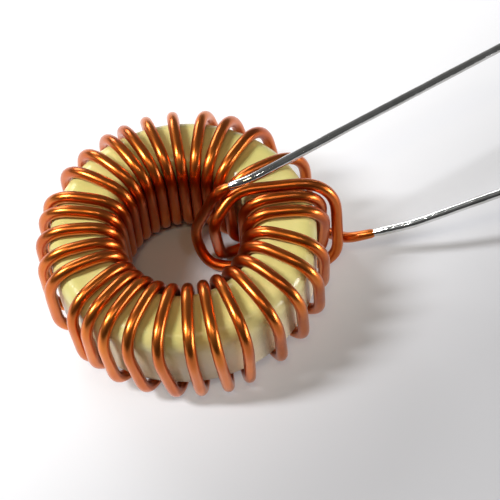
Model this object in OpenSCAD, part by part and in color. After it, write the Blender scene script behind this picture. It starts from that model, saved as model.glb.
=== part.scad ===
// Toroidal inductor: one length of enamelled copper wire wound thirty times through a coated
// powder ring core, with both ends tinned. Millimetres, +Z up, the ring's axis on Z, the lowest
// turns on Z = 0.

/* [Core] */
// Outside diameter of the ring core, over its coat
core_od = 33; // [32.8:0.1:33.1]
// Diameter of the ring core's hole
core_hole_d = 17.8; // [17.7:0.1:18]
// Height of the ring core
core_height = 11.1; // [10.9:0.1:11.2]
// Radius of the core's rounded edges
core_edge = 2.2; // [2:0.1:2.4]

/* [Wire] */
// Diameter of the wire over its enamel
wire_d = 1.46; // [1.4:0.01:1.47]
// Diameter of the stripped ends inside their solder
stripped_d = 0.94; // [0.8:0.02:0.98]
// Play between a stripped end and the bore of its solder
solder_play = 0.05; // [0.04:0.01:0.06]
// Thickness of the solder round a stripped end
solder_wall = 0.065; // [0.05:0.005:0.1]
// Solder past the tip of the stripped end
solder_cap = 0.3; // [0.2:0.1:0.6]

/* [Turns] */
// Gap between the hole's wall and the wire that climbs it
hole_gap = 0.32; // [0.31:0.005:0.33]
// Gap between the core's outside and the wire that comes down it
rim_gap = 0.77; // [0.76:0.01:0.85]
// Gap between the core's top and the wire over it
top_gap = 0.265; // [0.255:0.005:0.3]
// Gap between the core's underside and the wire on the floor
under_gap = 0.04; // [0.04:0.01:0.08]
// How much wider than a tight bend the wire turns out of the hole
hole_slack = 0.65; // [0.5:0.05:0.75]
// How much wider than a tight bend it rolls over the top rim
rim_slack = 1.15; // [1:0.05:1.2]
// How much wider than a tight bend it turns in under the core
foot_slack = 0.25; // [0.1:0.05:0.3]
// How far a turn's foot is tucked in behind its shoulder
foot_tuck = 0.2; // [0.1:0.05:0.2]

/* [Hidden] */

wire_r = wire_d / 2;
core_lift = wire_d + under_gap;
solder_bore_d = stripped_d + solder_play;
tinned_d = solder_bore_d + 2 * solder_wall;
foot_z = wire_r;
top_z = core_lift + core_height + top_gap + wire_r;
climb_r = core_hole_d / 2 - hole_gap - wire_r;
drop_r = core_od / 2 + rim_gap + wire_r;
// Bend radii: out of the hole, over the rim, under the core and up into the hole
tight_bend = core_edge + wire_r;
hole_bend = tight_bend + hole_slack;
rim_bend = tight_bend + rim_slack;
foot_bend = tight_bend + foot_slack;
entry_bend = 1.5;

// Where each turn stands around the ring, in degrees: as it climbs out of the hole, ...
climb_at = [ 38,   49.5,  61,    72,    83,    94,    105,   116,   127,   138,
            150,   163,   175,   187.5, 199.5, 210.5, 221.5, 232.5, 244,   256,
            268,   281,   293,   306,   319,   333,   346,   358.5, 372,   385.5];
// ... as it crosses the top rim, ...
rim_at = [   27,   49,    63,    74.5,  88,    100,   110,   118,   129.5, 141.5,
            157,   164.5, 175.5, 187,   197,   213.5, 222,   230,   240,   252.5,
            266,   276,   288.5, 302,   315,   328,   340,   357,   364.5, 368.5];
// ... and as it reaches the floor
foot_at = [  22,   40,    54,    66,    85.5,  95,    108,   119,   132,   141,
            158,   164,   176,   187,   198,   218,   223,   234,   247,   259.5,
            269,   280,   288.5, 305,   318.5, 332,   344,   362,   367.5, 356.5];
// How far a turn stands outside drop_r: the first few and the last are loose
bulge = [    0.3,  0.2,   0.2,   0.2,   0,     0,    -0.2,  -0.3,  -0.35, -0.35,
            -0.35, -0.35, -0.35, -0.3,  -0.2,  -0.2,  -0.3,  -0.1,  -0.1,   0,
             0,    0.2,   0.1,  -0.1,  -0.1,   0,    -0.35, -0.35, -0.3,   1.6];
// How much tighter or wider a turn's rim bend is for each millimetre it stands in or out
bend_drawn_in = 0.8;
bend_let_out = 0.2;
// Degrees by which a turn enters the hole, under the core, short of where it climbs out
entry_lag = [2.7, 1.2, 0, 0, 0, 0, 0, 0, 0, 0,
             0,   0,   0, 0, 0, 0, 0, 0, 0, 0,
             0,   0,   0, 0, 1.5, 4.5, 6.7, 8.4, 0.6, 0];
turns = len(climb_at);

// The wire's first end: out of the hole under the core, up behind the last turn, then away
start_lead = [
    [[drop_r + 30,   -0.4,   14],  0],
    [[drop_r + 10.5, -0.6,   6.5], 12],
    [[drop_r + 2.8,   0.307, 3.8], 2.5],
    [[drop_r + 1.4,   3,     0.8], 1.6],
    [on_ring(drop_r + 0.1, 14, foot_z), entry_bend]
];
// The slack loop that stands in the hole before the last turn
slack_loop = [
    [on_ring(climb_r, 22.8, foot_z), 1],
    [[4.5, 2.1, 0.85],        2],
    [[3.8, 0.7, top_z - 2.8], 2.2]
];
// The wire's last end: a wider loop in the hole, then away over the top of the first turn
finish_lead = [
    [on_ring(climb_r, 0.25, foot_z), entry_bend],
    [[2.8,   1,     0.85],        2.4],
    [[1.2,   4.1,   4.1],         4.5],
    [[5.1,   3.146, top_z + 1.1], 4.5],
    [[8.6,   3,     top_z + 2.3], 5],
    [[47.4, 19.8,   top_z + 2.3], 0]
];
// Where the tinning begins, measured along the straight run that holds it
start_strip = 3.2;
finish_strip = 2.05;

function on_ring(r, a, z) = [r * cos(a), r * sin(a), z];
function unit(v) = v / norm(v);

// One turn's four corners, each with its bend radius
function turn_foot(k) = [[on_ring(climb_r, climb_at[k] - entry_lag[k], foot_z), entry_bend]];
function rim_bend_of(k) = rim_bend + bulge[k] * (bulge[k] < 0 ? bend_drawn_in : bend_let_out);
function turn_top(k) = [
    [on_ring(climb_r, climb_at[k], top_z), hole_bend],
    [on_ring(drop_r + bulge[k], rim_at[k], top_z), rim_bend_of(k)],
    [on_ring(drop_r + bulge[k] - foot_tuck, foot_at[k], foot_z), foot_bend]
];
corners = concat(
    start_lead,
    [for (k = [0 : turns - 2]) each concat(turn_foot(k), turn_top(k))],
    slack_loop,
    turn_top(turns - 1),
    finish_lead);

// A bend is drawn in chords: none longer than this, and never fewer than so many
longest_chord = 1.15;
least_steps = 3;

// Rounding a corner p between neighbours a and b: how far back the bend starts, its radius,
// its centre and the points along it
function half_angle(a, p, b) = acos(unit(a - p) * unit(b - p)) / 2;
function setback(a, p, b, r) =
    min(r / tan(half_angle(a, p, b)), norm(a - p) / 2, norm(b - p) / 2);
function bend_radius(a, p, b, r) = setback(a, p, b, r) * tan(half_angle(a, p, b));
function bend_centre(a, p, b, r) =
    p + unit(unit(a - p) + unit(b - p)) * bend_radius(a, p, b, r) / sin(half_angle(a, p, b));
function bend_points(a, p, b, r) =
    let (c = bend_centre(a, p, b, r),
         from = p + unit(a - p) * setback(a, p, b, r) - c,
         to = p + unit(b - p) * setback(a, p, b, r) - c,
         across = norm(from) * unit(cross(cross(from, to), from)),
         sweep = 180 - 2 * half_angle(a, p, b),
         steps = max(least_steps, ceil(sweep * PI / 180 * norm(from) / longest_chord)))
    [for (i = [0 : steps]) c + from * cos(sweep * i / steps) + across * sin(sweep * i / steps)];

// Where a lead's stripped end meets its enamel: a point on the run between corners i and j
function strip_point(lead, i, j, along) =
    lead[i][0] + unit(lead[j][0] - lead[i][0]) * along;
start_strip_at = strip_point(start_lead, 2, 1, start_strip);
finish_strip_at = strip_point(finish_lead, 3, 4, finish_strip);

// The wire's centre line, as [point, radius] from the first tip to the last
function tip_point(lead, tip, next) =
    lead[tip][0] + unit(lead[next][0] - lead[tip][0]) * solder_cap;
function bend_run(i, r) = [
    for (p = bend_points(corners[i - 1][0], corners[i][0], corners[i + 1][0], corners[i][1]))
        [p, r]
];
enamel_end_length = 0.05;
function strip_run(at, towards, before, after) = [
    [at - towards * enamel_end_length, before],
    [at, after]
];
last = len(corners) - 1;
start_way = unit(start_lead[2][0] - start_lead[1][0]);
finish_way = unit(finish_lead[4][0] - finish_lead[3][0]);
centre_line = concat(
    [[tip_point(start_lead, 0, 1), stripped_d / 2]],
    bend_run(1, stripped_d / 2),
    strip_run(start_strip_at, start_way, stripped_d / 2, wire_r),
    [for (i = [2 : last - 2]) each bend_run(i, wire_r)],
    strip_run(finish_strip_at, finish_way, wire_r, stripped_d / 2),
    bend_run(last - 1, stripped_d / 2),
    [[tip_point(finish_lead, 5, 4), stripped_d / 2]]);

// A closed tube along [point, radius] stations. Each ring's side vector is the last one turned
// as little as the path allows, so the tube doesn't twist.
tube_sides = 8;
function way(line, i) =
    let (n = len(line) - 1)
    i == 0 ? unit(line[1][0] - line[0][0]) :
    i == n ? unit(line[n][0] - line[n - 1][0]) :
    unit(unit(line[i + 1][0] - line[i][0]) + unit(line[i][0] - line[i - 1][0]));
function square_to(v, w) = unit(v - w * (v * w));
function side_vectors(line) = [
    for (i = 0, s = square_to([0, 1, 0], way(line, 0));
         i < len(line);
         i = i + 1, s = i < len(line) ? square_to(s, way(line, i)) : s) s
];
module tube(line) {
    sides = side_vectors(line);
    rings = len(line);
    n = tube_sides;
    points = [
        for (i = [0 : rings - 1], j = [0 : n - 1])
            let (s = sides[i], u = cross(way(line, i), s), a = 360 * j / n)
            line[i][0] + line[i][1] * (s * cos(a) + u * sin(a))
    ];
    walls = [
        for (i = [0 : rings - 2], j = [0 : n - 1])
            let (a = i * n + j, b = i * n + (j + 1) % n)
            each [[a, a + n, b], [b, a + n, b + n]]
    ];
    first_end = [for (j = [0 : n - 1]) j];
    last_end = [for (j = [n - 1 : -1 : 0]) (rings - 1) * n + j];
    polyhedron(points, concat(walls, [first_end, last_end]), convexity = 20);
}

// A round rod with one bend, in its own plane: the bend turns about the origin from the X axis,
// with a straight run before it and one after it
module elbow(r, sweep, before, after, d) {
    union() {
        rotate_extrude(angle = sweep, $fn = 180) translate([r, 0]) circle(d = d, $fn = 48);
        translate([r, 0, 0]) rotate([90, 0, 0]) cylinder(d = d, h = before, $fn = 48);
        rotate([0, 0, sweep]) translate([r, 0, 0]) rotate([-90, 0, 0])
            cylinder(d = d, h = after, $fn = 48);
    }
}

// The solder on one stripped end, from the enamel at strip, which lies on the run from a to p,
// round the bend at p to a closed tip
module solder(strip, a, p, bend, tip) {
    c = bend_centre(a, p, tip, bend);
    back = setback(a, p, tip, bend);
    x = unit(p + unit(a - p) * back - c);
    z = unit(cross(p - a, tip - p));
    y = cross(z, x);
    r = bend_radius(a, p, tip, bend);
    sweep = round((180 - 2 * half_angle(a, p, tip)) * 10) / 10;
    before = norm(strip - p) - back;
    after = norm(tip - p) - back;
    multmatrix([[x.x, y.x, z.x, c.x], [x.y, y.y, z.y, c.y], [x.z, y.z, z.z, c.z], [0, 0, 0, 1]])
        difference() {
            elbow(r, sweep, before, after, tinned_d);
            elbow(r, sweep, before, after - solder_cap, solder_bore_d);
        }
}

// The powder ring, with its edges rounded all round
module core() {
    width = (core_od - core_hole_d) / 2;
    color([0.88, 0.84, 0.5])
    translate([0, 0, core_lift])
        rotate_extrude($fn = 180)
            translate([core_hole_d / 2, 0])
                rounded_section(width, core_height, core_edge);
}

module rounded_section(w, h, r) {
    union() {
        translate([r, 0]) square([w - 2 * r, h]);
        translate([0, r]) square([w, h - 2 * r]);
        for (x = [r, w - r], y = [r, h - r])
            translate([x, y]) circle(r = r, $fn = 48);
    }
}

module winding() {
    color([0.72, 0.36, 0.16]) tube(centre_line);
}

module start_solder() {
    color("silver")
    solder(start_strip_at, start_lead[2][0], start_lead[1][0], start_lead[1][1], start_lead[0][0]);
}

module finish_solder() {
    color("silver")
    solder(finish_strip_at, finish_lead[3][0], finish_lead[4][0], finish_lead[4][1],
           finish_lead[5][0]);
}

core();
winding();
start_solder();
finish_solder();
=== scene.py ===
import math

import bmesh
import bpy
from mathutils import Matrix, Vector, noise


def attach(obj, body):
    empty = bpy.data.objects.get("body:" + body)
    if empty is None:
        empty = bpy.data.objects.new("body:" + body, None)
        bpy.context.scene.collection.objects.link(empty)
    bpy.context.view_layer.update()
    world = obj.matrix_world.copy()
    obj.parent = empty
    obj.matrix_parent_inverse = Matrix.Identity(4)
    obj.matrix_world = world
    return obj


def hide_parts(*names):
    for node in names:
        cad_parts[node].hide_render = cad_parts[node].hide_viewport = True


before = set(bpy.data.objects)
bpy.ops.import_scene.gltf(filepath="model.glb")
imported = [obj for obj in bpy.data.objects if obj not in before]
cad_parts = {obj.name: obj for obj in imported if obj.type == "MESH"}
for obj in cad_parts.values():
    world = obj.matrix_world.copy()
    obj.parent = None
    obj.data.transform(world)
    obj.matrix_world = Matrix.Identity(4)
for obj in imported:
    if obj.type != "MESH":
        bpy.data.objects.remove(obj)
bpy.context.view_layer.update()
mm = 0.001  # pieces are given in millimetres; finishes, lamps and floor in metres

camera = {
    "distance": 200.056 * mm,  # from the point on the floor under the ring's middle
    "elevation": 59.103,
    "yaw": -2.372,
    "pitch": -0.727,
    "roll": -7.997,
    "lens": 111.7,
    "sensor": 36.0,
    "near": 0.01,
    "far": 20,
}


def aimCamera(values):
    tilt = math.radians(values["elevation"])
    ahead = Vector((0, math.cos(tilt), -math.sin(tilt)))
    right = Vector((1, 0, 0))
    facing = Matrix((right, ahead.cross(right), ahead))
    turn = (
        Matrix.Rotation(math.radians(values["roll"]), 3, "Z")
        @ Matrix.Rotation(math.radians(values["pitch"]), 3, "X")
        @ Matrix.Rotation(math.radians(values["yaw"]), 3, "Y")
    )
    across, down, forward = (turn @ facing).row
    data = bpy.data.cameras.new("camera")
    data.lens = values["lens"]
    data.sensor_width = values["sensor"]
    data.clip_start, data.clip_end = values["near"], values["far"]
    obj = bpy.data.objects.new("camera", data)
    bpy.context.scene.collection.objects.link(obj)
    place = Matrix((across, -down, -forward)).transposed().to_4x4()
    place.translation = -ahead * values["distance"]
    obj.matrix_world = place
    bpy.context.scene.camera = obj


aimCamera(camera)
print("camera set")

# Where each turn climbs out of the hole, crosses the top rim and reaches the floor, in degrees,
# and how far its outer side stands out past the drop radius
turns = {
    "climbAt": [
        38, 49.5, 61, 72, 83, 94, 105, 116, 127, 138,
        150, 163, 175, 187.5, 199.5, 210.5, 221.5, 232.5, 244, 256,
        268, 281, 293, 306, 319, 333, 346, 358.5, 372, 385.5,
    ],
    "rimAt": [
        27, 49, 63, 74.5, 88, 100, 110, 118, 129.5, 141.5,
        157, 164.5, 175.5, 187, 197, 213.5, 222, 230, 240, 252.5,
        266, 276, 288.5, 302, 315, 328, 340, 357, 364.5, 368.5,
    ],
    "footAt": [
        22, 40, 54, 66, 85.5, 95, 108, 119, 132, 141,
        158, 164, 176, 187, 198, 218, 223, 234, 247, 259.5,
        269, 280, 288.5, 305, 318.5, 332, 344, 362, 367.5, 356.5,
    ],
    "bulge": [
        0.3, 0.2, 0.2, 0.2, 0, 0, -0.2, -0.3, -0.35, -0.35,
        -0.35, -0.35, -0.35, -0.3, -0.2, -0.2, -0.3, -0.1, -0.1, 0,
        0, 0.2, 0.1, -0.1, -0.1, 0, -0.35, -0.35, -0.3, 1.6,
    ],
    "entryLag": [2.7, 1.2] + [0] * 22 + [1.5, 4.5, 6.7, 8.4, 0.6, 0],
    "climbRadius": 7.85,
    "dropRadius": 18.0,
    "footHeight": 0.73,
    "footTuck": 0.2,
    "topHeight": 13.595,
    "holeBend": 3.58,
    "rimBend": 4.08,
    "drawnIn": 0.8,
    "letOut": 0.2,
    "footBend": 3.18,
    "entryBend": 1.5,
}


def onRing(radius, degrees, height):
    a = math.radians(degrees)
    return (radius * math.cos(a), radius * math.sin(a), height)


def turnFoot(k):
    at = turns["climbAt"][k] - turns["entryLag"][k]
    return [(onRing(turns["climbRadius"], at, turns["footHeight"]), turns["entryBend"])]


def turnTop(k):
    bulge = turns["bulge"][k]
    out = turns["dropRadius"] + bulge
    rimBend = turns["rimBend"] + bulge * turns["drawnIn" if bulge < 0 else "letOut"]
    top, foot = turns["topHeight"], turns["footHeight"]
    return [
        (onRing(turns["climbRadius"], turns["climbAt"][k], top), turns["holeBend"]),
        (onRing(out, turns["rimAt"][k], top), rimBend),
        (onRing(out - turns["footTuck"], turns["footAt"][k], foot), turns["footBend"]),
    ]


# Corners of the free runs, each with its bend radius
leads = {
    "start": [
        ((48, -0.4, 14), 0),
        ((28.5, -0.6, 6.5), 12),
        ((20.8, 0.307, 3.8), 2.5),
        ((19.4, 3, 0.8), 1.6),
        (onRing(18.1, 14, 0.73), 1.5),
    ],
    "slack": [
        (onRing(7.85, 22.8, 0.73), 1),
        ((4.5, 2.1, 0.85), 2),
        ((3.8, 0.7, 10.795), 2.2),
    ],
    "finish": [
        (onRing(7.85, 0.25, 0.73), 1.5),
        ((2.8, 1, 0.85), 2.4),
        ((1.2, 4.1, 4.1), 4.5),
        ((5.1, 3.146, 14.695), 4.5),
        ((8.6, 3, 15.895), 5),
        ((47.4, 19.8, 15.895), 0),
    ],
    "startStrip": 3.2,
    "finishStrip": 1.05,
}


wire = {
    "radius": 0.73,
    "strippedRadius": 0.47,
    "thinRadius": 0.6,
    "startTaper": 11,  # route points over which the enamel thins out
    "finishTaper": 3,
    "covered": 2,  # route points at each end that only the solder reaches
    "pointGap": 0.45,
    "bendSteps": 12,
    "easePasses": 7,
    "sideSteps": 10,
    "wobble": 0.03,
    "wobbleSize": 6.0,
    "wobbleSeed": 1,  # keeps the wobble the same in each run
}


def wireCorners():
    corners = list(leads["start"])
    count = len(turns["climbAt"])
    for k in range(count - 1):
        corners += turnFoot(k) + turnTop(k)
    corners += leads["slack"] + turnTop(count - 1) + leads["finish"]
    return [(Vector(p), r) for p, r in corners]


def bendPoints(a, p, b, radius, steps):
    toA, toB = (a - p).normalized(), (b - p).normalized()
    half = toA.angle(toB) / 2
    back = min(radius / math.tan(half), (a - p).length / 2, (b - p).length / 2)
    radius = back * math.tan(half)
    centre = p + (toA + toB).normalized() * radius / math.sin(half)
    first, final = p + toA * back - centre, p + toB * back - centre
    across = first.cross(final).cross(first).normalized() * first.length
    sweep = math.pi - 2 * half
    return [
        centre + first * math.cos(sweep * i / steps) + across * math.sin(sweep * i / steps)
        for i in range(steps + 1)
    ]


def evenPath(points, gap):
    lengths = [0.0]
    for a, b in zip(points, points[1:]):
        lengths.append(lengths[-1] + (b - a).length)
    count = round(lengths[-1] / gap)
    path, j = [], 0
    for i in range(count + 1):
        want = lengths[-1] * i / count
        while j < len(points) - 2 and lengths[j + 1] < want:
            j += 1
        span = lengths[j + 1] - lengths[j]
        path.append(points[j].lerp(points[j + 1], (want - lengths[j]) / span))
    return path


def ease(path, passes):
    for _ in range(passes):
        path = (
            [path[0]]
            + [(a + 2 * p + b) / 4 for a, p, b in zip(path, path[1:], path[2:])]
            + [path[-1]]
        )
    return path


def wireRoute():
    corners = wireCorners()
    route = [corners[0][0]]
    for (a, _), (p, r), (b, _) in zip(corners, corners[1:], corners[2:]):
        route += bendPoints(a, p, b, r, wire["bendSteps"])
    route.append(corners[-1][0])
    path = ease(evenPath(route, wire["pointGap"]), wire["easePasses"])
    noise.seed_set(wire["wobbleSeed"])
    return [
        p + noise.noise_vector(p / wire["wobbleSize"]) * wire["wobble"] for p in path
    ]


def nearest(path, point):
    return min(range(len(path)), key=lambda i: (path[i] - point).length)


def stripPoint(lead, i, j, along):
    a, b = Vector(lead[i][0]), Vector(lead[j][0])
    return a + (b - a).normalized() * along


route = wireRoute()
startStrip = nearest(route, stripPoint(leads["start"], 2, 1, leads["startStrip"]))
finishStrip = nearest(route, stripPoint(leads["finish"], 3, 4, leads["finishStrip"]))
print("route:", len(route), "points, stripped at", startStrip, finishStrip)


def tubeAlong(name, path, radii, sideSteps):
    curve = bpy.data.curves.new(name, "CURVE")
    curve.dimensions = "3D"
    curve.bevel_depth = mm
    curve.bevel_resolution = sideSteps
    curve.use_fill_caps = True
    spline = curve.splines.new("POLY")
    spline.points.add(len(path) - 1)
    for point, p, r in zip(spline.points, path, radii):
        point.co = (*(p * mm), 1)
        point.radius = r
    loose = bpy.data.objects.new(name + "_curve", curve)
    bpy.context.scene.collection.objects.link(loose)
    graph = bpy.context.evaluated_depsgraph_get()
    mesh = bpy.data.meshes.new_from_object(loose.evaluated_get(graph))
    bpy.data.objects.remove(loose)
    mesh.name = name
    mesh.polygons.foreach_set("use_smooth", [True] * len(mesh.polygons))
    obj = bpy.data.objects.new(name, mesh)
    bpy.context.scene.collection.objects.link(obj)
    return obj


def wireRadius(i):
    if not startStrip <= i <= finishStrip:
        return wire["strippedRadius"]
    # the enamel thins out towards the stripped ends
    near = min((i - startStrip) / wire["startTaper"], (finishStrip - i) / wire["finishTaper"], 1)
    return wire["thinRadius"] + (wire["radius"] - wire["thinRadius"]) * near


def copperWinding():
    within = range(wire["covered"], len(route) - wire["covered"])
    path, radii = [route[i] for i in within], [wireRadius(i) for i in within]
    return tubeAlong("copper_winding", path, radii, wire["sideSteps"])


winding = copperWinding()
print("winding:", len(winding.data.polygons), "faces")

solder = {
    "radius": 0.56,
    "pointGap": 0.25,
    "shoulder": 1.2,  # how far the solder takes to reach its full thickness, mm
    "shoulderRadius": 0.49,
    "tipSteps": 6,
    "tipRadius": 0.02,  # of the last ring, which closes the tip
    "ripple": 0.025,
    "rippleSize": 2.6,
    "sideSteps": 12,
}


def tinnedEnd(name, path):
    full = solder["radius"]
    path = evenPath(path, solder["pointGap"])
    tip, ahead = path[-1], (path[-1] - path[-3]).normalized()
    path = [p for p in path if (p - tip).length > full]
    body = len(path)
    for i in range(solder["tipSteps"] + 1):
        angle = math.pi / 2 * i / solder["tipSteps"]
        path.append(tip - ahead * full * (1 - math.sin(angle)))
    radii = []
    for i, p in enumerate(path):
        grown = min(1, i * solder["pointGap"] / solder["shoulder"])
        r = solder["shoulderRadius"] + (full - solder["shoulderRadius"]) * math.sin(
            grown * math.pi / 2
        )
        r *= 1 + noise.noise(p / solder["rippleSize"]) * solder["ripple"]
        if i >= body:
            angle = math.pi / 2 * (i - body) / solder["tipSteps"]
            r = max(full * math.cos(angle), solder["tipRadius"])
        radii.append(r)
    return tubeAlong(name, path, radii, solder["sideSteps"])


startTin = tinnedEnd("start_tinning", route[startStrip - 1 :: -1])
finishTin = tinnedEnd("finish_tinning", route[finishStrip + 1 :])
print("tinned ends:", len(startTin.data.polygons), len(finishTin.data.polygons), "faces")

ring = {
    "outer": 16.5,
    "inner": 8.9,
    "foot": 1.5,  # height of its underside
    "height": 11.1,
    "edge": 2.2,
    "edgeSteps": 10,
    "cuts": 9,
    "longEdge": 1.0,  # the section's edges above this length get the cuts
    "turnSteps": 288,
    "unevenness": 0.035,
    "unevenSize": 4.0,
}


def coatedRing():
    bm = bmesh.new()
    low, high = ring["foot"], ring["foot"] + ring["height"]
    corners = [
        (ring["inner"], low),
        (ring["outer"], low),
        (ring["outer"], high),
        (ring["inner"], high),
    ]
    verts = [bm.verts.new((x, 0, z)) for x, z in corners]
    bm.faces.new(verts)
    bmesh.ops.bevel(
        bm,
        geom=verts,
        offset=ring["edge"],
        offset_type="OFFSET",
        segments=ring["edgeSteps"],
        profile=0.5,
        affect="VERTICES",
        material=-1,
    )
    bmesh.ops.delete(bm, geom=bm.faces[:], context="FACES_ONLY")
    longEdges = [e for e in bm.edges if e.calc_length() > ring["longEdge"]]
    bmesh.ops.subdivide_edges(bm, edges=longEdges, cuts=ring["cuts"])
    bmesh.ops.spin(
        bm,
        geom=bm.verts[:] + bm.edges[:],
        cent=(0, 0, 0),
        axis=(0, 0, 1),
        angle=math.tau,
        steps=ring["turnSteps"],
        use_merge=True,
    )
    bmesh.ops.recalc_face_normals(bm, faces=bm.faces[:])
    for v in bm.verts:
        lift = noise.noise(v.co / ring["unevenSize"]) * ring["unevenness"]
        v.co += v.normal * lift
    bmesh.ops.scale(bm, vec=(mm, mm, mm), verts=bm.verts[:])
    mesh = bpy.data.meshes.new("coated_ring")
    bm.to_mesh(mesh)
    bm.free()
    mesh.polygons.foreach_set("use_smooth", [True] * len(mesh.polygons))
    obj = bpy.data.objects.new("coated_ring", mesh)
    bpy.context.scene.collection.objects.link(obj)
    return obj


core = coatedRing()
print("ring:", len(core.data.polygons), "faces")


def newMaterial(name):
    material = bpy.data.materials.new(name)
    material.use_nodes = True
    tree = material.node_tree
    return material, tree, tree.nodes["Principled BSDF"]


def addNode(tree, kind, **settings):
    node = tree.nodes.new("ShaderNode" + kind)
    for key, value in settings.items():
        if key in node.inputs.keys():
            node.inputs[key].default_value = value
        else:
            setattr(node, key, value)
    return node


def newGroup(name, inputs, outputs):
    group = bpy.data.node_groups.new(name, "ShaderNodeTree")
    for label, kind, value in inputs:
        socket = group.interface.new_socket(label, in_out="INPUT", socket_type="NodeSocket" + kind)
        if value is not None:
            socket.default_value = value
    for label, kind in outputs:
        group.interface.new_socket(label, in_out="OUTPUT", socket_type="NodeSocket" + kind)
    return group, group.nodes.new("NodeGroupInput"), group.nodes.new("NodeGroupOutput")


def placeGroup(tree, group, **values):
    node = tree.nodes.new("ShaderNodeGroup")
    node.node_tree = group
    for key, value in values.items():
        node.inputs[key].default_value = value
    return node


def patchyTone():
    group, into, out = newGroup(
        "patchy tone",
        [
            ("Place", "Vector", None),
            ("Size", "Float", 200.0),
            ("Spread", "Float", 0.2),
            ("Deep", "Color", (0, 0, 0, 1)),
            ("Light", "Color", (1, 1, 1, 1)),
        ],
        [("Color", "Color"), ("Mask", "Float")],
    )
    link = group.links.new
    cloud = addNode(group, "TexNoise", Detail=3.0, Roughness=0.55)
    low = addNode(group, "Math", operation="SUBTRACT")
    low.inputs[0].default_value = 0.5
    high = addNode(group, "Math", operation="ADD")
    high.inputs[0].default_value = 0.5
    span = addNode(group, "MapRange")
    mix = addNode(group, "Mix", data_type="RGBA")
    link(into.outputs["Place"], cloud.inputs["Vector"])
    link(into.outputs["Size"], cloud.inputs["Scale"])
    link(into.outputs["Spread"], low.inputs[1])
    link(into.outputs["Spread"], high.inputs[1])
    link(cloud.outputs["Fac"], span.inputs["Value"])
    link(low.outputs[0], span.inputs["From Min"])
    link(high.outputs[0], span.inputs["From Max"])
    link(span.outputs["Result"], mix.inputs[0])
    link(into.outputs["Deep"], mix.inputs[6])
    link(into.outputs["Light"], mix.inputs[7])
    link(mix.outputs[2], out.inputs["Color"])
    link(span.outputs["Result"], out.inputs["Mask"])
    return group


def fineGrain():
    group, into, out = newGroup(
        "fine grain",
        [("Place", "Vector", None), ("Size", "Float", 1000.0), ("Height", "Float", 1.0)],
        [("Height", "Float")],
    )
    link = group.links.new
    cloud = addNode(group, "TexNoise", Detail=2.0, Roughness=0.5)
    scaled = addNode(group, "Math", operation="MULTIPLY")
    link(into.outputs["Place"], cloud.inputs["Vector"])
    link(into.outputs["Size"], cloud.inputs["Scale"])
    link(cloud.outputs["Fac"], scaled.inputs[0])
    link(into.outputs["Height"], scaled.inputs[1])
    link(scaled.outputs[0], out.inputs["Height"])
    return group


tone, grain = patchyTone(), fineGrain()

enamel = {
    "deep": (0.50, 0.088, 0.010, 1),
    "light": (0.78, 0.215, 0.026, 1),
    "roughness": 0.29,
    "coat": 0.4,
    "coatRoughness": 0.2,
    "patchSize": 130.0,
    "patchSpread": 0.25,
    "drawAround": 40.0,
    "drawAlong": 160.0,
    "drawHeight": 0.5,
    "drawDepth": 0.000012,
}


def enamelledCopper():
    material, tree, shader = newMaterial("enamelled copper")
    link = tree.links.new
    place = addNode(tree, "TexCoord")
    along = addNode(tree, "Mapping")
    along.inputs["Scale"].default_value = (enamel["drawAround"], enamel["drawAlong"], 1)
    patches = placeGroup(
        tree,
        tone,
        Size=enamel["patchSize"],
        Spread=enamel["patchSpread"],
        Deep=enamel["deep"],
        Light=enamel["light"],
    )
    lines = placeGroup(tree, grain, Size=1.0, Height=enamel["drawHeight"])
    bump = addNode(tree, "Bump", Strength=1.0, Distance=enamel["drawDepth"])
    link(place.outputs["Object"], patches.inputs["Place"])
    link(place.outputs["UV"], along.inputs["Vector"])
    link(along.outputs["Vector"], lines.inputs["Place"])
    link(lines.outputs["Height"], bump.inputs["Height"])
    link(bump.outputs["Normal"], shader.inputs["Normal"])
    link(patches.outputs["Color"], shader.inputs["Base Color"])
    shader.inputs["Metallic"].default_value = 1.0
    shader.inputs["Roughness"].default_value = enamel["roughness"]
    shader.inputs["Coat Weight"].default_value = enamel["coat"]
    shader.inputs["Coat Roughness"].default_value = enamel["coatRoughness"]
    return material


tin = {
    "deep": (0.55, 0.55, 0.52, 1),
    "light": (0.94, 0.94, 0.93, 1),
    "metallic": 1.0,
    "roughness": 0.12,
    "patchSize": 420.0,
    "patchSpread": 0.3,
    "rippleSize": 700.0,
    "rippleDepth": 0.00005,
}


def tinnedWire():
    material, tree, shader = newMaterial("tinned wire")
    link = tree.links.new
    place = addNode(tree, "TexCoord")
    patches = placeGroup(
        tree,
        tone,
        Size=tin["patchSize"],
        Spread=tin["patchSpread"],
        Deep=tin["deep"],
        Light=tin["light"],
    )
    ripples = placeGroup(tree, grain, Size=tin["rippleSize"], Height=1.0)
    bump = addNode(tree, "Bump", Strength=1.0, Distance=tin["rippleDepth"])
    link(place.outputs["Object"], patches.inputs["Place"])
    link(place.outputs["Object"], ripples.inputs["Place"])
    link(ripples.outputs["Height"], bump.inputs["Height"])
    link(bump.outputs["Normal"], shader.inputs["Normal"])
    link(patches.outputs["Color"], shader.inputs["Base Color"])
    shader.inputs["Metallic"].default_value = tin["metallic"]
    shader.inputs["Roughness"].default_value = tin["roughness"]
    return material


paint = {
    "yellow": (0.66, 0.62, 0.19, 1),
    "yellowLight": (0.80, 0.74, 0.31, 1),
    "cream": (0.82, 0.73, 0.49, 1),
    "creamTop": 0.0095,
    "creamFade": 0.003,
    "patchSize": 160.0,
    "patchSpread": 0.3,
    "peelSize": 1500.0,
    "peelDepth": 0.00004,
    "roughness": 0.25,
}


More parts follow.
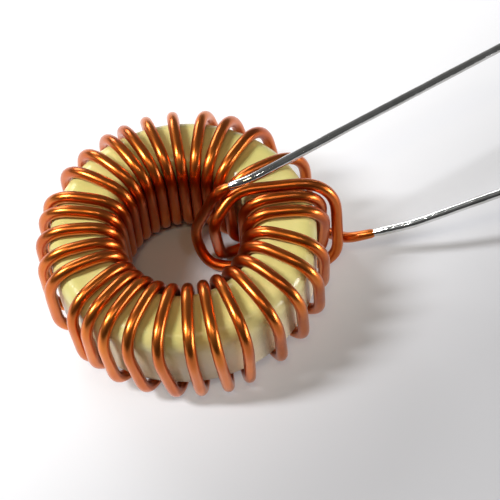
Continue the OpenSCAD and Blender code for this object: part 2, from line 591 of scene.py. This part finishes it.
def corePaint():
    material, tree, shader = newMaterial("core paint")
    link = tree.links.new
    place = addNode(tree, "TexCoord")
    patches = placeGroup(
        tree,
        tone,
        Size=paint["patchSize"],
        Spread=paint["patchSpread"],
        Deep=paint["yellow"],
        Light=paint["yellowLight"],
    )
    height = addNode(tree, "SeparateXYZ")
    fade = addNode(tree, "MapRange")
    fade.inputs["From Min"].default_value = paint["creamTop"] - paint["creamFade"]
    fade.inputs["From Max"].default_value = paint["creamTop"] + paint["creamFade"]
    mix = addNode(tree, "Mix", data_type="RGBA")
    mix.inputs[6].default_value = paint["cream"]
    peel = placeGroup(tree, grain, Size=paint["peelSize"], Height=1.0)
    bump = addNode(tree, "Bump", Strength=1.0, Distance=paint["peelDepth"])
    link(place.outputs["Object"], patches.inputs["Place"])
    link(place.outputs["Object"], peel.inputs["Place"])
    link(place.outputs["Object"], height.inputs["Vector"])
    link(height.outputs["Z"], fade.inputs["Value"])
    link(fade.outputs["Result"], mix.inputs[0])
    link(patches.outputs["Color"], mix.inputs[7])
    link(mix.outputs[2], shader.inputs["Base Color"])
    link(peel.outputs["Height"], bump.inputs["Height"])
    link(bump.outputs["Normal"], shader.inputs["Normal"])
    shader.inputs["Roughness"].default_value = paint["roughness"]
    return material


copper, tinned, painted = enamelledCopper(), tinnedWire(), corePaint()
for piece, material, node, slot in (
    (winding, copper, "winding", "enamelled_copper"),
    (startTin, tinned, "start_solder", "solder"),
    (finishTin, tinned, "finish_solder", "solder"),
    (core, painted, "core", "core_coat"),
):
    piece.data.materials.clear()
    piece.data.materials.append(material)
    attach(piece, "root")
    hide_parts(node)
print("materials placed")

floor = {
    "halfWidth": 1.5,
    "roughness": 0.6,
    "color": (0.54, 0.545, 0.575, 1),
    "paintedLight": 0.46,  # painted light: glow that only the camera and reflections see, at its full strength
    "toward": (-0.6, 0.8, 0),  # painted pool of light: the side on which the floor is painted brightest
    "from": -0.038,  # where the painted glow starts on that way, and is full
    "to": 0.01,
    "clearOf": (0.011, 0.017),  # the painted glow is left out of the ring's hole so it stays in shade, full outside the ring
}


def paleFloor():
    bm = bmesh.new()
    bmesh.ops.create_grid(bm, x_segments=2, y_segments=2, size=floor["halfWidth"])
    mesh = bpy.data.meshes.new("floor")
    bm.to_mesh(mesh)
    bm.free()
    obj = bpy.data.objects.new("floor", mesh)
    bpy.context.scene.collection.objects.link(obj)
    material, tree, shader = newMaterial("pale floor")
    link = tree.links.new
    shader.inputs["Base Color"].default_value = floor["color"]
    shader.inputs["Roughness"].default_value = floor["roughness"]
    shader.inputs["Emission Color"].default_value = (1, 1, 1, 1)
    # The glow is painted light: a pool brightest towards the back left, seen by the camera and in
    # reflections
    place = addNode(tree, "TexCoord")
    along = addNode(tree, "VectorMath", operation="DOT_PRODUCT")
    along.inputs[1].default_value = floor["toward"]
    glow = addNode(tree, "MapRange", interpolation_type="SMOOTHSTEP")
    glow.inputs["From Min"].default_value = floor["from"]
    glow.inputs["From Max"].default_value = floor["to"]
    glow.inputs["To Max"].default_value = floor["paintedLight"]
    away = addNode(tree, "VectorMath", operation="LENGTH")
    # The painted glow is left out of the ring's hole, so the hole keeps its shade
    outside = addNode(tree, "MapRange", interpolation_type="SMOOTHSTEP")
    outside.inputs["From Min"].default_value = floor["clearOf"][0]
    outside.inputs["From Max"].default_value = floor["clearOf"][1]
    there = addNode(tree, "Math", operation="MULTIPLY")
    seen = addNode(tree, "LightPath")
    either = addNode(tree, "Math", operation="MAXIMUM")
    shown = addNode(tree, "Math", operation="MULTIPLY")
    link(place.outputs["Object"], along.inputs[0])
    link(along.outputs["Value"], glow.inputs["Value"])
    link(place.outputs["Object"], away.inputs[0])
    link(away.outputs["Value"], outside.inputs["Value"])
    link(glow.outputs["Result"], there.inputs[0])
    link(outside.outputs["Result"], there.inputs[1])
    link(seen.outputs["Is Camera Ray"], either.inputs[0])
    link(seen.outputs["Is Glossy Ray"], either.inputs[1])
    link(either.outputs[0], shown.inputs[0])
    link(there.outputs[0], shown.inputs[1])
    link(shown.outputs[0], shader.inputs["Emission Strength"])
    mesh.materials.append(material)


paleFloor()

lamps = {
    "window": {
        "at": (-0.393, 0.014, 0.453),
        "width": 0.08,
        "height": 0.22,
        "power": 3.3,
        "color": (0.99, 1.0, 1.0),
    },
    "back": {
        "at": (-0.230, 0.493, 0.254),
        "width": 0.3,
        "height": 0.16,
        "power": 1.0,
        "color": (1.0, 1.0, 1.0),
    },
    "doorway": {
        "at": (0.566, -0.162, 0.114),
        "width": 0.36,
        "height": 0.1,
        "power": 1.9,
        "color": (1.0, 0.97, 1.0),
    },
    "overhead": {
        "at": (-0.04, -0.17, 0.57),
        "width": 0.12,
        "height": 0.12,
        "power": 0.4,
        "color": (1.0, 0.82, 0.48),
    },
    "ceiling": {
        "at": (0.17, -0.15, 0.55),
        "width": 0.08,
        "height": 0.06,
        "power": 0.16,
        "color": (1.0, 0.97, 0.92),
    },
}


def softLamp(name, values):
    data = bpy.data.lights.new(name, "AREA")
    data.shape = "ELLIPSE"
    data.size, data.size_y = values["width"], values["height"]
    data.energy = values["power"]
    data.color = values["color"]
    obj = bpy.data.objects.new(name, data)
    bpy.context.scene.collection.objects.link(obj)
    obj.location = values["at"]
    obj.rotation_euler = (-Vector(values["at"])).to_track_quat("-Z", "Y").to_euler()


for name, values in lamps.items():
    softLamp(name, values)

# The room's light on each side, as greys from the floor's level up to straight above
room = {
    "heights": (0, 0.12, 0.31, 0.53, 0.77, 1),
    "sides": {
        "right": {"toward": (1, 0, 0), "greys": (0.1, 0.1, 0.12, 0.1, 0.1, 0.08)},
        "back": {"toward": (0, 1, 0), "greys": (0.15, 0.15, 0.18, 0.18, 0.15, 0.08)},
        "left": {"toward": (-1, 0, 0), "greys": (0.05, 0.08, 0.12, 0.15, 0.15, 0.08)},
        "front": {"toward": (0, -1, 0), "greys": (0, 0, 0.03, 0.05, 0.08, 0.08)},
    },
}


def roomLight():
    world = bpy.data.worlds.new("studio")
    world.use_nodes = True
    tree = world.node_tree
    back = tree.nodes["Background"]
    link = tree.links.new
    place = addNode(tree, "TexCoord")
    height = addNode(tree, "SeparateXYZ")
    level = addNode(tree, "VectorMath", operation="MULTIPLY")
    level.inputs[1].default_value = (1, 1, 0)
    outward = addNode(tree, "VectorMath", operation="NORMALIZE")
    link(place.outputs["Generated"], height.inputs["Vector"])
    link(place.outputs["Generated"], level.inputs[0])
    link(level.outputs[0], outward.inputs[0])
    total = None
    for side in room["sides"].values():
        ramp = tree.nodes.new("ShaderNodeValToRGB")
        while len(ramp.color_ramp.elements) < len(room["heights"]):
            ramp.color_ramp.elements.new(0.5)
        for element, at, grey in zip(ramp.color_ramp.elements, room["heights"], side["greys"]):
            element.position = at
            element.color = (grey, grey, grey, 1)
        facing = addNode(tree, "VectorMath", operation="DOT_PRODUCT")
        facing.inputs[1].default_value = side["toward"]
        above = addNode(tree, "Math", operation="MAXIMUM")
        above.inputs[1].default_value = 0
        share = addNode(tree, "Math", operation="POWER")
        share.inputs[1].default_value = 2
        part = addNode(tree, "VectorMath", operation="SCALE")
        link(outward.outputs[0], facing.inputs[0])
        link(facing.outputs["Value"], above.inputs[0])
        link(above.outputs[0], share.inputs[0])
        link(height.outputs["Z"], ramp.inputs["Fac"])
        link(ramp.outputs["Color"], part.inputs[0])
        link(share.outputs[0], part.inputs["Scale"])
        if total is None:
            total = part.outputs[0]
        else:
            added = addNode(tree, "VectorMath", operation="ADD")
            link(total, added.inputs[0])
            link(part.outputs[0], added.inputs[1])
            total = added.outputs[0]
    link(total, back.inputs["Color"])
    bpy.context.scene.world = world


roomLight()
bpy.context.scene.view_settings.view_transform = "Standard"
print("stage lit")
